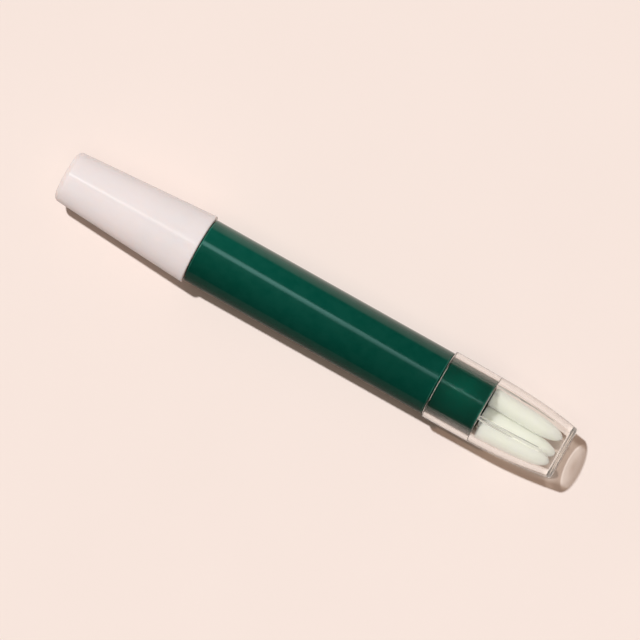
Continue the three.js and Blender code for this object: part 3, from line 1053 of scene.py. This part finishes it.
def key_light(name, energy, pieces, state, blocked_by=None):
    """The key, kept to the pieces given or leaving them out. Everything stops its light, or
    only the pieces given."""
    lamp = bpy.data.lights.new(name, "SUN")
    lamp.energy = energy
    lamp.angle = KEY_WIDTH
    key = bpy.data.objects.new(name, lamp)
    key.rotation_mode = "QUATERNION"
    key.rotation_quaternion = Vector(KEY_TRAVEL).to_track_quat("-Z", "Y")
    key.light_linking.receiver_collection = piece_group(name + "_pieces", pieces, state)
    if blocked_by:
        key.light_linking.blocker_collection = piece_group(name + "_is_blocked_by", blocked_by)
    bpy.context.scene.collection.objects.link(key)


shells = [barrel, holder, plug, clear_cap, seal, front_cap]
key_light("key", KEY_ENERGY * (1 - FIBRE_LETS_THROUGH), tips, "EXCLUDE")
key_light("key_through", KEY_ENERGY * FIBRE_LETS_THROUGH, tips, "EXCLUDE", shells)
key_light("key_on_tips", KEY_ENERGY_ON_TIPS, tips, "INCLUDE")

# Places and sizes of lamps are in metres.
STRIP_PLACE = Vector((0.0, 0.142, 0.60))
STRIP_AIM = Vector((0.053, -0.137, 0.008))
STRIP_RUN = Vector((0.50, -0.87, 0.0))
strip_lamp = bpy.data.lights.new("strip", "AREA")
strip_lamp.shape = "RECTANGLE"
strip_lamp.size = 0.70
strip_lamp.size_y = 0.08
strip_lamp.energy = 0.0336
strip_lamp.spread = math.radians(38.6)
strip_lamp.color = (0.58, 1.0, 0.97)
strip = bpy.data.objects.new("strip", strip_lamp)
facing = (STRIP_PLACE - STRIP_AIM).normalized()
side = facing.cross(STRIP_RUN).normalized()
run = side.cross(facing)
strip_turn = Matrix((run, side, facing)).transposed().to_4x4()
strip.matrix_world = Matrix.Translation(STRIP_PLACE) @ strip_turn
strip.visible_diffuse = False
strip.visible_transmission = False
strip.light_linking.receiver_collection = piece_group("strip_lights", [barrel, front_cap])
bpy.context.scene.collection.objects.link(strip)


def soft_lamp(name, place, aim, size, energy, colour, lit=None, blocked_by=None, beam=math.pi):
    """A soft square lamp that no shine shows, with a wide beam or a narrow one. It lights
    everything, or only the pieces given, and everything stops its light, or only those given."""
    lamp = bpy.data.lights.new(name, "AREA")
    lamp.size = size
    lamp.energy = energy
    lamp.color = colour
    lamp.spread = beam
    made = bpy.data.objects.new(name, lamp)
    made.location = place
    made.rotation_mode = "QUATERNION"
    made.rotation_quaternion = (Vector(aim) - Vector(place)).to_track_quat("-Z", "Y")
    made.visible_glossy = False
    made.visible_transmission = False
    bpy.context.scene.collection.objects.link(made)
    if lit:
        made.light_linking.receiver_collection = piece_group(name + "_lights", lit)
    if blocked_by:
        made.light_linking.blocker_collection = piece_group(name + "_is_blocked_by", blocked_by)


soft_lamp(
    "fill",
    place=(0.0, -0.16, 1.20),
    aim=(0, 0, 0),
    size=0.6,
    energy=1.65,
    colour=(1.0, 0.84, 0.70),
)
soft_lamp(
    "card",
    place=(-0.045, -0.30, 0.10),
    aim=(-0.045, 0, 0),
    size=0.25,
    energy=0.12,
    colour=(1.0, 0.92, 0.88),
    lit=[front_cap],
)
soft_lamp(
    "lift",
    place=(-0.055, 0.05, 0.056),
    aim=(-0.015, 0, 0.012),
    size=0.03,
    energy=0.040,
    colour=(1.0, 1.0, 1.0),
    lit=[barrel],
)
soft_lamp(
    "spigot_lift",
    place=(spigot_middle * MM, 0.014, 0.062),
    aim=(spigot_middle * MM, 0.001, 0.014),
    size=0.006,
    energy=0.00018,
    colour=(0.8, 1.0, 1.0),
    lit=[barrel],
    beam=math.radians(14),
)
for name, sideways in (("glow_left", 0.42), ("glow_right", -0.42)):
    soft_lamp(
        name,
        place=(0.05, sideways, 0.40),
        aim=(0.05, 0, 0),
        size=0.5,
        energy=1.3,
        colour=(1.0, 1.0, 0.97),
        lit=tips,
        blocked_by=[floor],
    )

ROOM_LIGHT = 0.09
ROOM_SHINE = 0.005
world = bpy.data.worlds.new("room")
bpy.context.scene.world = world
world.use_nodes = True
sky = world.node_tree
background = sky.nodes["Background"]
background.inputs["Color"].default_value = (1.0, 0.80, 0.68, 1)
seen_light = ramp(sky, mirror_rays(sky), low=0, high=1, to_low=ROOM_LIGHT, to_high=ROOM_SHINE)
sky.links.new(seen_light, background.inputs["Strength"])

# Camera
# Far above the pen with a long lens, leaning a little towards the clear cap, and turned so
# that the pen lies aslant.
PICTURE_TURN = math.radians(29.37)
PICTURE_WIDTH = 0.1398
PICTURE_MIDDLE = (0.00159, -0.00057)
CAMERA_DISTANCE = 1.5
CAMERA_LEAN = 0.0715
camera_data = bpy.data.cameras.new("camera")
camera_data.sensor_width = 36.0
camera_data.lens = camera_data.sensor_width * CAMERA_DISTANCE / PICTURE_WIDTH
camera = bpy.data.objects.new("camera", camera_data)
aim = Vector((*PICTURE_MIDDLE, axis_height * MM))
to_camera = Vector((CAMERA_LEAN, 0, 1)).normalized()
picture_up = Vector((-math.sin(PICTURE_TURN), math.cos(PICTURE_TURN), 0))
picture_right = picture_up.cross(to_camera).normalized()
picture_up = to_camera.cross(picture_right)
camera_turn = Matrix((picture_right, picture_up, to_camera)).transposed().to_4x4()
camera.matrix_world = Matrix.Translation(aim + to_camera * CAMERA_DISTANCE) @ camera_turn
bpy.context.scene.collection.objects.link(camera)
bpy.context.scene.camera = camera
bpy.context.scene.view_settings.view_transform = "Standard"
